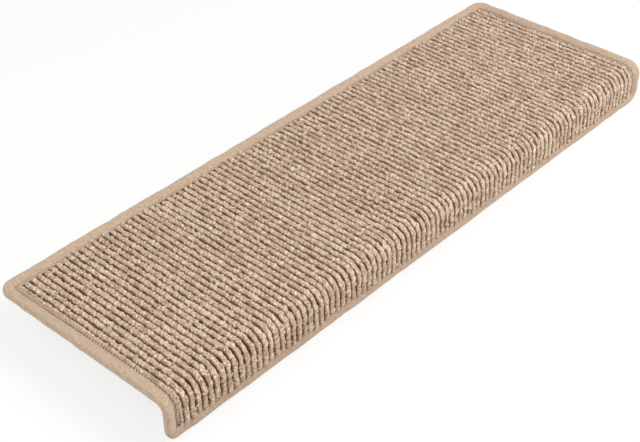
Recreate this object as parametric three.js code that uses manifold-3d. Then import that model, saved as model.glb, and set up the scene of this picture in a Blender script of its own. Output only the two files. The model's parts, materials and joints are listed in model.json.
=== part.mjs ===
import * as THREE from 'three';
import { mergeVertices } from 'three/addons/utils/BufferGeometryUtils.js';
import Module from 'manifold-3d';

// A carpet mat for one stair tread: a ribbed loop carpet whose cut edge is bound
// all round with a woven tape, formed over the front edge of the step.
// Millimetres. X runs along the step, +Y towards the riser behind, +Z up.
// The origin is the centre of the flat underside.
//
// The mat is described flat, as it is cut and sewn, and then formed over the nose:
// u runs along the mat, s runs over the carpet from its back edge to the bottom
// edge of the nose, and n is the height above the underside.

// Overall form
const matLength = 650;
const treadDepth = 208;
const noseInnerRadius = 6.5;
const noseDrop = 28;
const backCornerRadius = 13;
const noseCornerRadius = 9;

// Carpet
const backingThickness = 3.6;
const pileHeight = 4.4;
const ribPitch = 6.6;
const ribEndLength = 2.5;
const ribEndTaper = 1;
const ribEndFall = 0.35;

// Edge binding
const tapeThickness = 1;
const tapeTopWidth = 12.5;
const tapeUnderWidth = 13;
const edgeBulk = 7;
const edgeRollRadius = 2.6;
const stitchInset = 9.5;
const lipLift = 0.5;

// Gap kept between the tape and the carpet that it wraps
const sewingClearance = 0.3;

// Facets of the curved stretches
const bendFacets = 5;
const cornerFacets = 4;
const rollFacets = 3;
const ribFacets = 4;

// Worked out from the sizes above
const noseTurn = Math.PI / 2;
const crestHeight = backingThickness + pileHeight;
const flatRun = treadDepth - noseInnerRadius - crestHeight;
const bendRun = noseTurn * (noseInnerRadius + backingThickness / 2);
const carpetRun = flatRun + bendRun + noseDrop;
const rimInset = tapeThickness + sewingClearance;
const stitchHeight = backingThickness + sewingClearance + tapeThickness;
const pileInset = tapeTopWidth + sewingClearance;
const sharpCorner = 0.3;

const bendRows = [];
for (let i = 0; i <= bendFacets; i += 1) {
  bendRows.push(flatRun + (bendRun * i) / bendFacets);
}

// Lays one point of the flat mat over the step: level tread, quarter bend, drop.
function formOverNose([u, s, n]) {
  const turn = noseTurn * THREE.MathUtils.clamp((s - flatRun) / bendRun, 0, 1);
  const radius = noseInnerRadius + n;
  const ahead = Math.min(s, flatRun) + radius * Math.sin(turn);
  const below = Math.max(s - flatRun - bendRun, 0);
  return [u, -ahead, radius * Math.cos(turn) - noseInnerRadius - below];
}

// A closed line round the mat at one inset from its edge and one height.
// Its first half is the left side, from back to front, and the second half
// the right side, from front to back, so that left and right points pair up.
function edgeLoop([inset, height]) {
  const backRadius = Math.max(backCornerRadius - inset, sharpCorner);
  const noseRadius = Math.max(noseCornerRadius - inset, sharpCorner);
  const left = [];
  for (let i = 0; i <= cornerFacets; i += 1) {
    const angle = (Math.PI / 2) * (i / cornerFacets);
    const u = inset + backRadius * (1 - Math.sin(angle));
    const s = inset + backRadius * (1 - Math.cos(angle));
    left.push([u, s]);
  }
  for (const s of bendRows) {
    left.push([inset, s]);
  }
  for (let i = 0; i <= cornerFacets; i += 1) {
    const angle = (Math.PI / 2) * (i / cornerFacets);
    const u = inset + noseRadius * (1 - Math.cos(angle));
    const s = carpetRun - inset - noseRadius * (1 - Math.sin(angle));
    left.push([u, s]);
  }
  const right = left.map(([u, s]) => [matLength - u, s]).reverse();
  return [...left, ...right].map(([u, s]) => [u, s, height]);
}

// Joins lines of points that run side by side. Lines are closed round, and the
// stack of lines either closes on itself or is capped across at both ends.
function skin(lines, { closed }) {
  const count = lines[0].length;
  const positions = lines.flat().map(formOverNose).flat();
  const indices = [];
  const quad = (a, b, c, d) => indices.push(a, b, c, a, c, d);
  const stackEnd = closed ? lines.length : lines.length - 1;
  for (let i = 0; i < stackEnd; i += 1) {
    const here = i * count;
    const next = ((i + 1) % lines.length) * count;
    for (let j = 0; j < count; j += 1) {
      const k = (j + 1) % count;
      quad(here + j, here + k, next + k, next + j);
    }
  }
  if (!closed) {
    const last = (lines.length - 1) * count;
    for (let j = 0; j < count / 2 - 1; j += 1) {
      const across = count - 1 - j;
      quad(j, across, across - 1, j + 1);
      quad(last + j, last + j + 1, last + across - 1, last + across);
    }
  }
  return facetedGeometry(positions, indices);
}

function facetedGeometry(positions, indices) {
  const geometry = new THREE.BufferGeometry();
  geometry.setAttribute('position', new THREE.Float32BufferAttribute(positions, 3));
  geometry.setIndex(indices);
  return facingOut(mergeVertices(geometry, 1e-4));
}

// Turns a closed surface so that its faces point outwards.
function facingOut(geometry) {
  const position = geometry.getAttribute('position');
  const index = geometry.getIndex();
  const corners = [new THREE.Vector3(), new THREE.Vector3(), new THREE.Vector3()];
  let volume = 0;
  for (let i = 0; i < index.count; i += 3) {
    corners.forEach((corner, k) => corner.fromBufferAttribute(position, index.getX(i + k)));
    volume += corners[0].dot(corners[1].clone().cross(corners[2])) / 6;
  }
  if (volume < 0) {
    geometry.setIndex(Array.from(index.array).reverse());
  }
  geometry.computeVertexNormals();
  return geometry;
}

// Outer face of the tape as [inset, height] points, from the inner end of the
// under leg, round the rolled edge, down to the stitch line and up over the lip.
function tapeFace() {
  const roll = edgeRollRadius;
  const top = edgeBulk - roll;
  const path = new THREE.Path();
  path.moveTo(tapeUnderWidth, 0);
  path.lineTo(roll, 0);
  path.absarc(roll, roll, roll, -Math.PI / 2, -Math.PI, true);
  path.absarc(roll, top, roll, Math.PI, Math.PI / 2, true);
  const slope = (stitchInset - roll) / 2;
  const crown = new THREE.Vector2(roll + slope, edgeBulk);
  const dip = new THREE.Vector2(stitchInset - slope / 3, stitchHeight);
  path.bezierCurveTo(crown.x, crown.y, dip.x, dip.y, stitchInset, stitchHeight);
  path.lineTo(tapeTopWidth, stitchHeight + lipLift);
  return sampledPath(path);
}

// Points along a path: ends only on its straight lines, even steps on its curves.
function sampledPath(path) {
  const points = [];
  for (const curve of path.curves) {
    const steps = curve.type === 'LineCurve' ? 1 : rollFacets;
    for (const point of curve.getPoints(steps)) {
      const last = points[points.length - 1];
      if (!last || last.distanceTo(point) > 1e-6) {
        points.push(point);
      }
    }
  }
  return points;
}

// The same line, moved sideways into the mat by one distance all along.
function movedInward(points, distance) {
  return points.map((point, i) => {
    const before = points[Math.max(i - 1, 0)];
    const after = points[Math.min(i + 1, points.length - 1)];
    const into = i > 0 ? point.clone().sub(before).normalize() : null;
    const out = i < points.length - 1 ? after.clone().sub(point).normalize() : null;
    const first = into ?? out;
    const second = out ?? into;
    const along = first.clone().add(second).normalize();
    const side = new THREE.Vector2(along.y, -along.x);
    const stretch = side.dot(new THREE.Vector2(first.y, -first.x));
    return point.clone().addScaledVector(side, distance / stretch);
  });
}

// The tape strip: one wall of even thickness folded round the carpet's edge.
function edgeBinding() {
  const outside = tapeFace();
  const inside = movedInward(outside, tapeThickness).reverse();
  const section = [...outside, ...inside].map((point) => [point.x, point.y]);
  return skin(section.map(edgeLoop), { closed: true });
}

// The carpet's backing, with the rim that fills the rolled edge of the tape.
function backingPlate() {
  const underStep = tapeUnderWidth + sewingClearance;
  const rim = movedInward(tapeFace(), rimInset);
  const filled = rim.filter((point) => point.x < stitchInset - sewingClearance);
  const section = [
    [underStep, 0],
    [underStep, rimInset],
    ...filled.slice(1).map((point) => [point.x, point.y]),
    [stitchInset, backingThickness],
  ];
  return skin(section.map(edgeLoop), { closed: false });
}

// One cross-section of the ribbed pile: half-round ribs side by side.
function pileSection(s, inset, rise) {
  const root = backingThickness / 2;
  const groove = backingThickness + sewingClearance;
  const width = matLength - 2 * pileInset;
  const ribs = Math.round(width / ribPitch);
  const left = pileInset + inset;
  const pitch = (width - 2 * inset) / ribs;
  const crown = (crestHeight - groove) * rise;
  const line = [[left, s, root]];
  for (let i = 0; i <= ribs * ribFacets; i += 1) {
    const angle = (Math.PI * (i % ribFacets)) / ribFacets;
    const start = left + pitch * Math.floor(i / ribFacets);
    const u = start + (pitch * (1 - Math.cos(angle))) / 2;
    line.push([u, s, groove + crown * Math.sin(angle)]);
  }
  line.push([left + pitch * ribs, s, root]);
  return line;
}

// The ribbed pile: its section carried over the tread and down the nose.
function ribbedPile() {
  const last = carpetRun - pileInset;
  const middle = [pileInset + ribEndLength, ...bendRows, last - ribEndLength];
  const lines = [
    pileSection(pileInset, ribEndTaper, 1 - ribEndFall),
    ...middle.map((s) => pileSection(s, 0, 1)),
    pileSection(last, ribEndTaper, 1 - ribEndFall),
  ];
  const count = lines[0].length;
  const positions = lines.flat().map(formOverNose).flat();
  const indices = [];
  for (let i = 0; i < lines.length - 1; i += 1) {
    for (let j = 0; j < count; j += 1) {
      const k = (j + 1) % count;
      const here = i * count;
      const next = here + count;
      indices.push(here + j, here + k, next + k, here + j, next + k, next + j);
    }
  }
  const outline = lines[0].map(([u, , n]) => new THREE.Vector2(u, n));
  const cap = THREE.ShapeUtils.triangulateShape(outline, []);
  const end = (lines.length - 1) * count;
  for (const [a, b, c] of cap) {
    indices.push(a, b, c, end + c, end + b, end + a);
  }
  return facetedGeometry(positions, indices);
}

const manifold = await Module();
manifold.setup();

function toSolid(geometry) {
  const bare = geometry.clone();
  bare.deleteAttribute('normal');
  const merged = mergeVertices(bare, 1e-4);
  return new manifold.Manifold(new manifold.Mesh({
    numProp: 3,
    vertProperties: new Float32Array(merged.getAttribute('position').array),
    triVerts: new Uint32Array(merged.getIndex().array),
  }));
}

function toGeometry(solid) {
  const mesh = solid.getMesh();
  return facetedGeometry(Array.from(mesh.vertProperties), Array.from(mesh.triVerts));
}

function carpetPanel() {
  return toGeometry(toSolid(backingPlate()).add(toSolid(ribbedPile())));
}

const carpetMaterial = new THREE.MeshStandardMaterial({
  color: 0xc4a692,
  roughness: 0.95,
  metalness: 0,
});
const tapeMaterial = new THREE.MeshStandardMaterial({
  color: 0xc8ac8c,
  roughness: 0.85,
  metalness: 0,
});

function piece(name, geometry, material) {
  const mesh = new THREE.Mesh(geometry, material);
  mesh.name = name;
  return mesh;
}

const mat = new THREE.Group();
mat.position.set(-matLength / 2, flatRun / 2, 0);
mat.add(piece('carpet_panel', carpetPanel(), carpetMaterial));
mat.add(piece('edge_binding', edgeBinding(), tapeMaterial));

const stairTreadMat = new THREE.Group();
stairTreadMat.add(mat);

export default stairTreadMat;
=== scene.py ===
"""Looks of a ribbed carpet mat for one stair tread.

The mat is a loop carpet whose cut edge is bound with a woven tape and whose
front turns down over the nose of the step. Every shape is worked out flat, as
the mat is cut and sewn, and then formed over the nose.
"""

from __future__ import annotations

import json
import logging
import math
from dataclasses import dataclass, field
from enum import Enum, IntEnum
from typing import Any

import bpy
import numpy as np
from mathutils import Matrix, Vector

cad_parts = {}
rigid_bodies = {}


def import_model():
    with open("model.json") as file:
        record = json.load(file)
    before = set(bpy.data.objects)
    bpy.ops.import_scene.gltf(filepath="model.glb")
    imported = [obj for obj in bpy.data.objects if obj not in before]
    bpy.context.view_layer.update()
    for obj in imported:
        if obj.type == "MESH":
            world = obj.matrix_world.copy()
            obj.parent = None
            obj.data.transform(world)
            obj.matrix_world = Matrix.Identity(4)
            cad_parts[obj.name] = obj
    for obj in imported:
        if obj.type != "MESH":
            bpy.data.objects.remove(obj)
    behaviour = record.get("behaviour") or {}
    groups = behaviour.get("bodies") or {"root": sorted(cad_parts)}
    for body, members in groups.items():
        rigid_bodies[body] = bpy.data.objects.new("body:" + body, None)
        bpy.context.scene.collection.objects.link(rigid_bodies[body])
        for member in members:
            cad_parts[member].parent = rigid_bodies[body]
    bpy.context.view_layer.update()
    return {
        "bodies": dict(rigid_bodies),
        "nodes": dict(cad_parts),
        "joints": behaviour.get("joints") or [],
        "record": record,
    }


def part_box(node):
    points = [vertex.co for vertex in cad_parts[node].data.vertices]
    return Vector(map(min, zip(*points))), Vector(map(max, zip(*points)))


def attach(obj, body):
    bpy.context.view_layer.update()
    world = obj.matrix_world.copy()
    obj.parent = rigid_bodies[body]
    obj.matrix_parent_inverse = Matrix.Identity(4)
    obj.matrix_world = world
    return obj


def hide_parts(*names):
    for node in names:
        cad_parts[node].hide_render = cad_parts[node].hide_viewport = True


log = logging.getLogger("stair_mat")

Colour = tuple[float, float, float]
Span = tuple[float, float]

MM = 0.001
QUARTER = math.pi / 2
TURN = 2 * math.pi
# Soft noise seldom leaves this range.
MOST_NOISE = (0.3, 0.7)
BODY = "root"


class Side(Enum):
    """The face of the mat that a row of stitches lies on."""

    TOP = "top"
    UNDER = "under"


class Border(IntEnum):
    """The straight stretches of the mat's border. Its corners have the numbers between."""

    LEFT = 1
    FRONT = 3
    RIGHT = 5
    BACK = 7


@dataclass(frozen=True)
class MatForm:
    """Outline and bend of the mat, in metres.

    u runs along the mat, s over the carpet from its back edge to the bottom
    edge of the nose, and n up from its underside. The crest is the height of the
    pile and the bulk that of the folded tape. The slack corner is the right one at
    the nose, which is rounder than the left one.
    """

    length: float
    back: float
    inner_radius: float
    drop: float
    crest: float
    bulk: float
    backing: float = 3.6 * MM
    back_corner: float = 13 * MM
    nose_corner: float = 9 * MM
    slack_corner: float = 14 * MM
    sharp_corner: float = 0.3 * MM
    stitch_inset: float = 9.5 * MM

    @classmethod
    def from_frame(cls, frame: dict[str, Any]) -> MatForm:
        """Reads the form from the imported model.


        Returns:
            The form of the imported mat.
        """
        low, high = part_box("edge_binding")
        mounts = {mount["name"]: mount for mount in frame["record"]["mounts"]}
        nose_y = mounts["nose_inner_face"]["pos_m"][1]
        inner_radius = -nose_y - high[1]
        return cls(
            length=high[0] - low[0],
            back=high[1],
            inner_radius=inner_radius,
            drop=-low[2] - inner_radius,
            crest=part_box("carpet_panel")[1][2],
            bulk=high[2],
        )

    @property
    def flat_run(self) -> float:
        """Length of the level part, from the back edge to the bend."""
        return 2 * self.back

    @property
    def bend_run(self) -> float:
        """Length of carpet in the bend, along the middle of its backing."""
        return QUARTER * (self.inner_radius + self.backing / 2)

    @property
    def run(self) -> float:
        """Length of the flat carpet from its back edge to its front edge."""
        return self.flat_run + self.bend_run + self.drop

    def formed(self, u: np.ndarray, s: np.ndarray, n: np.ndarray) -> np.ndarray:
        """Lays points of the flat mat over the step.

        Args:
            u: Distances along the mat.
            s: Distances over the carpet from its back edge.
            n: Heights above the underside.

        Returns:
            The points in the row's frame, with X, Y and Z on the last axis.
        """
        u, s, n = np.broadcast_arrays(u, s, n)
        turn = QUARTER * np.clip((s - self.flat_run) / self.bend_run, 0, 1)
        radius = self.inner_radius + n
        below = np.maximum(s - self.flat_run - self.bend_run, 0)
        y = self.back - np.minimum(s, self.flat_run) - radius * np.sin(turn)
        z = radius * np.cos(turn) - self.inner_radius - below
        return np.stack([u - self.length / 2, y, z], axis=-1)


class DriftMap:
    """Smooth random values from -1 to 1 over a flat area."""

    # A place is held just before the last knot but one, so that it has a next knot.
    SPARE_KNOTS = 2.001

    def __init__(self, rng: np.random.Generator, size: tuple[float, float], grain: float) -> None:
        """Draws the values at the knots of a grid.

        Args:
            rng: Source of the random values.
            size: Width and length of the area.
            grain: Distance between knots.
        """
        self.grain = grain
        knots = [int(side / grain) + 4 for side in size]
        self.values = rng.uniform(-1, 1, knots)

    def at(self, u: np.ndarray, s: np.ndarray) -> np.ndarray:
        """Gives the values at some places.

        Args:
            u: Distances along the first side.
            s: Distances along the second side.

        Returns:
            One value for each place.
        """
        u, s = np.broadcast_arrays(u, s)
        x = np.clip(u / self.grain, 0, self.values.shape[0] - self.SPARE_KNOTS)
        y = np.clip(s / self.grain, 0, self.values.shape[1] - self.SPARE_KNOTS)
        i, j = x.astype(int), y.astype(int)
        fx, fy = smooth_step(x - i), smooth_step(y - j)
        low = self.values[i, j] * (1 - fx) + self.values[i + 1, j] * fx
        high = self.values[i, j + 1] * (1 - fx) + self.values[i + 1, j + 1] * fx
        return low * (1 - fy) + high * fy


def smooth_step(x: np.ndarray) -> np.ndarray:
    """Eases values from 0 to 1."""
    x = np.clip(x, 0, 1)
    return x * x * (3 - 2 * x)


def bell(distance: np.ndarray, width: float) -> np.ndarray:
    """A smooth bump of height 1 round a distance of 0."""
    return np.exp(-((distance / width) ** 2))


def mesh_piece(
    name: str,
    points: np.ndarray,
    uv: np.ndarray,
    wrap_rows: bool = False,
    values: dict[str, np.ndarray] | None = None,
) -> bpy.types.Object:
    """Makes one object of closed tubes.

    Args:
        name: Name of the object.
        points: Points as (tubes, rings, points round a ring, 3).
        uv: Surface coordinates as (tubes, rings, points round a ring, 2), with one
            more ring where the rings wrap, and always one more point round.
        wrap_rows: Whether the last ring joins the first. Otherwise both ends are
            capped.
        values: Named values for each point, as (tubes, rings, points round a ring).

    Returns:
        The new object.
    """
    tubes, rings, around, _ = points.shape
    index = np.arange(tubes * rings * around).reshape(tubes, rings, around)
    uv_around = uv.shape[2]
    uv_index = np.arange(tubes * uv.shape[1] * uv_around).reshape(tubes, -1, uv_around)
    ring_next = np.roll(index, -1, axis=1) if wrap_rows else index[:, 1:]
    ring_here = index if wrap_rows else index[:, :-1]
    quads = np.stack(
        [
            ring_here,
            np.roll(ring_here, -1, axis=2),
            np.roll(ring_next, -1, axis=2),
            ring_next,
        ],
        axis=-1,
    ).reshape(-1, 4)
    uv_here, uv_next = uv_index[:, :-1], uv_index[:, 1:]
    uv_quads = np.stack(
        [uv_here[..., :-1], uv_here[..., 1:], uv_next[..., 1:], uv_next[..., :-1]],
        axis=-1,
    ).reshape(-1, 4)
    groups, uv_groups = [quads], [uv_quads]
    if not wrap_rows:
        groups += [index[:, 0, ::-1], index[:, -1]]
        uv_groups += [uv_index[:, 0, :around][:, ::-1], uv_index[:, -1, :around]]
    flat = points.reshape(-1, 3)
    return faced_object(name, flat, groups, uv.reshape(-1, 2), uv_groups, values or {})


def faced_object(
    name: str,
    points: np.ndarray,
    groups: list[np.ndarray],
    uv: np.ndarray,
    uv_groups: list[np.ndarray],
    values: dict[str, np.ndarray],
) -> bpy.types.Object:
    """Makes a smooth mesh object from arrays, with its faces pointing out.

    Args:
        name: Name of the object.
        points: Its points as (points, 3).
        groups: Faces by number of corners, each as (faces, corners).
        uv: Surface coordinates as (places, 2).
        uv_groups: For each group, the place in uv of every corner.
        values: Named values for each point.

    Returns:
        The new object, linked to the scene.
    """
    if signed_volume(points, groups[0]) < 0:
        groups = [group[:, ::-1] for group in groups]
        uv_groups = [group[:, ::-1] for group in uv_groups]
    corners = np.concatenate([group.ravel() for group in groups])
    sizes = np.concatenate([np.full(len(group), group.shape[1]) for group in groups])
    starts = np.concatenate([[0], np.cumsum(sizes)[:-1]])
    mesh = bpy.data.meshes.new(name)
    mesh.vertices.add(len(points))
    mesh.vertices.foreach_set("co", points.astype(np.float32).ravel())
    mesh.loops.add(len(corners))
    mesh.loops.foreach_set("vertex_index", corners.astype(np.int32))
    mesh.polygons.add(len(sizes))
    mesh.polygons.foreach_set("loop_start", starts.astype(np.int32))
    mesh.polygons.foreach_set("use_smooth", np.ones(len(sizes), dtype=bool))
    layer = mesh.uv_layers.new(name="surface")
    places = np.concatenate([group.ravel() for group in uv_groups])
    layer.data.foreach_set("uv", uv[places].astype(np.float32).ravel())
    for key, value in values.items():
        attribute = mesh.attributes.new(key, "FLOAT", "POINT")
        attribute.data.foreach_set("value", value.astype(np.float32).ravel())
    mesh.update(calc_edges=True)
    mesh.validate()
    piece = bpy.data.objects.new(name, mesh)
    bpy.context.scene.collection.objects.link(piece)
    return piece


def signed_volume(points: np.ndarray, quads: np.ndarray) -> float:
    """Finds which way the faces of a closed mesh point.

    Args:
        points: Its points as (points, 3).
        quads: Its faces with four corners.

    Returns:
        Six times the volume that they enclose, negative if they point in.
    """
    centred = points - points.mean(axis=0)
    a, b, c, d = (centred[quads[:, k]] for k in range(4))
    first = np.einsum("ij,ij->", a, np.cross(b, c))
    return float(first + np.einsum("ij,ij->", a, np.cross(c, d)))


@dataclass(frozen=True)
class Grain:
    """Soft noise of one size, in metres, and how many finer layers it has."""

    size: float
    layers: float = 2
    rough: float = 0.5


class NodeBoard:
    """Adds shader nodes to one material, with short calls for the usual ones."""

    # The wave texture repeats at this length over its scale.
    WAVE_SCALE = math.pi / 10
    WAVE_DETAIL = 1.5
    CLOTH_SHINE = 0.08
    SHEEN_ROUGHNESS = 0.6

    def __init__(self, name: str) -> None:
        """Starts a material that holds only its output.

        Args:
            name: Name of the material.
        """
        self.material = bpy.data.materials.new(name)
        self.material.use_nodes = True
        self.tree = self.material.node_tree
        self.tree.nodes.clear()
        self.out = self.tree.nodes.new("ShaderNodeOutputMaterial")

    def add(self, kind: str, inputs: dict[str | int, Any], **settings: Any) -> bpy.types.Node:
        """Adds one node.

        Args:
            kind: Type of the node.
            inputs: A value, or a socket to link, for each named or numbered input.
            **settings: Properties of the node.

        Returns:
            The node.
        """
        node = self.tree.nodes.new(kind)
        for key, value in settings.items():
            setattr(node, key, value)
        for key, value in inputs.items():
            if isinstance(value, bpy.types.NodeSocket):
                self.tree.links.new(value, node.inputs[key])
            else:
                node.inputs[key].default_value = value
        return node

    def value(self, name: str) -> bpy.types.NodeSocket:
        """Reads one of the mesh's named values."""
        node = self.add("ShaderNodeAttribute", {}, attribute_name=name)
        return node.outputs["Fac"]

    def place(self) -> bpy.types.NodeSocket:
        """The object's own coordinates, in metres."""
        return self.add("ShaderNodeTexCoord", {}).outputs["Object"]

    def surface(self) -> bpy.types.NodeSocket:
        """The surface coordinates of the mesh, in metres."""
        return self.add("ShaderNodeUVMap", {}, uv_map="surface").outputs["UV"]

    def noise(self, vector: bpy.types.NodeSocket, grain: Grain) -> bpy.types.NodeSocket:
        """Soft random values from about 0 to 1.

        Args:
            vector: Where to read the noise, in metres.
            grain: Size and layers of the noise.

        Returns:
            The socket of the values.
        """
        inputs = {
            "Vector": vector,
            "Scale": 1 / grain.size,
            "Detail": grain.layers,
            "Roughness": grain.rough,
        }
        return self.add("ShaderNodeTexNoise", inputs).outputs["Fac"]

    def cells(self, vector: bpy.types.NodeSocket, size: float) -> bpy.types.NodeSocket:
        """Divides space into small uneven cells.

        Args:
            vector: Where to read the cells, in metres.
            size: Size of a cell, in metres.

        Returns:
            The socket of one random value from 0 to 1 for each cell.
        """
        inputs = {"Vector": vector, "Scale": 1 / size}
        cell = self.add("ShaderNodeTexVoronoi", inputs, feature="F1")
        return self.add("ShaderNodeSeparateColor", {0: cell.outputs["Color"]}).outputs[0]

    def wave(
        self, vector: bpy.types.NodeSocket, pitch: float, direction: str, wobble: float
    ) -> bpy.types.NodeSocket:
        """Even bands across one axis of a vector.

        Args:
            vector: Where to read the bands, in metres.
            pitch: Distance from band to band, in metres.
            direction: The axis that the bands follow each other along.
            wobble: How far the bands are disturbed.

        Returns:
            The socket of the values from 0 to 1.
        """
        inputs = {
            "Vector": vector,
            "Scale": self.WAVE_SCALE / pitch,
            "Distortion": wobble,
            "Detail Scale": self.WAVE_DETAIL,
        }
        settings = {"wave_type": "BANDS", "bands_direction": direction, "wave_profile": "SIN"}
        return self.add("ShaderNodeTexWave", inputs, **settings).outputs["Fac"]

    def math(self, operation: str, *terms: Any) -> bpy.types.NodeSocket:
        """One arithmetic step on sockets or numbers."""
        inputs = dict(enumerate(terms))
        return self.add("ShaderNodeMath", inputs, operation=operation).outputs[0]

    def spread(
        self, value: bpy.types.NodeSocket, source: Span, target: Span
    ) -> bpy.types.NodeSocket:
        """Maps one range of values on to another, and holds them at its ends.

        Args:
            value: The socket to map.
            source: The range that it is read from.
            target: The range that it is mapped on to.

        Returns:
            The socket of the mapped values.
        """
        inputs = {
            "Value": value,
            "From Min": source[0],
            "From Max": source[1],
            "To Min": target[0],
            "To Max": target[1],
        }
        return self.add("ShaderNodeMapRange", inputs, clamp=True).outputs["Result"]

    def ramp(
        self, value: bpy.types.NodeSocket, stops: list[tuple[float, Colour]]
    ) -> bpy.types.NodeSocket:
        """Turns values into colours.

        Args:
            value: The socket that picks the colour, from 0 to 1.
            stops: Places and their colours as seen on a screen, from 0 to 255.

        Returns:
            The socket of the colours.
        """
        node = self.add("ShaderNodeValToRGB", {"Fac": value})
        elements = node.color_ramp.elements
        while len(elements) < len(stops):
            elements.new(1.0)
        for element, (place, colour) in zip(elements, stops, strict=True):
            element.position = place
            element.color = screen_colour(colour)
        return node.outputs["Color"]

    def blend(
        self, share: Any, first: Any, second: Any, mode: str = "MIX"
    ) -> bpy.types.NodeSocket:
        """Mixes two colours.

        Args:
            share: How much of the second shows, from 0 to 1.
            first: The lower colour.
            second: The upper colour.
            mode: How they are mixed.

        Returns:
            The socket of the mixed colour.
        """
        node = self.tree.nodes.new("ShaderNodeMix")
        node.data_type = "RGBA"
        node.blend_type = mode
        node.clamp_result = True
        colours = [socket for socket in node.inputs if socket.type == "RGBA"]
        for socket, value in zip([node.inputs[0], *colours], [share, first, second], strict=True):
            if isinstance(value, bpy.types.NodeSocket):
                self.tree.links.new(value, socket)
            else:
                socket.default_value = value
        return next(socket for socket in node.outputs if socket.type == "RGBA")

    def dim(
        self, colour: bpy.types.NodeSocket, value: bpy.types.NodeSocket
    ) -> bpy.types.NodeSocket:
        """Multiplies a colour by a value."""
        grey = self.add("ShaderNodeCombineColor", {0: value, 1: value, 2: value}).outputs[0]
        return self.blend(1.0, colour, grey, "MULTIPLY")

    def cloth(
        self,
        colour: bpy.types.NodeSocket,
        relief: bpy.types.NodeSocket,
        depth: float,
        roughness: float,
        sheen: float,
    ) -> bpy.types.Material:
        """Finishes the material as a matt textile.

        Args:
            colour: The socket of its colour.
            relief: The socket of its fine height, from 0 to 1.
            depth: How deep that relief is, in metres.
            roughness: Roughness of the surface.
            sheen: Strength of the soft light that fibres catch at the edges.

        Returns:
            The finished material.
        """
        inputs = {"Height": relief, "Distance": depth, "Strength": 1.0}
        bump = self.add("ShaderNodeBump", inputs)
        surface = {
            "Base Color": colour,
            "Roughness": roughness,
            "Specular IOR Level": self.CLOTH_SHINE,
            "Sheen Weight": sheen,
            "Sheen Roughness": self.SHEEN_ROUGHNESS,
            "Normal": bump.outputs["Normal"],
        }
        shader = self.add("ShaderNodeBsdfPrincipled", surface)
        self.tree.links.new(shader.outputs["BSDF"], self.out.inputs["Surface"])
        return self.material


def screen_colour(colour: Colour) -> tuple[float, float, float, float]:
    """Turns a colour as seen on a screen into shader values, by the usual screen curve.

    Args:
        colour: Red, green and blue from 0 to 255.

    Returns:
        The same colour in linear shares, with a full last value.
    """
    shares = [channel / 255 for channel in colour]
    linear = [x / 12.92 if x <= 0.04045 else ((x + 0.055) / 1.055) ** 2.4 for x in shares]
    return (*linear, 1.0)


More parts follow.
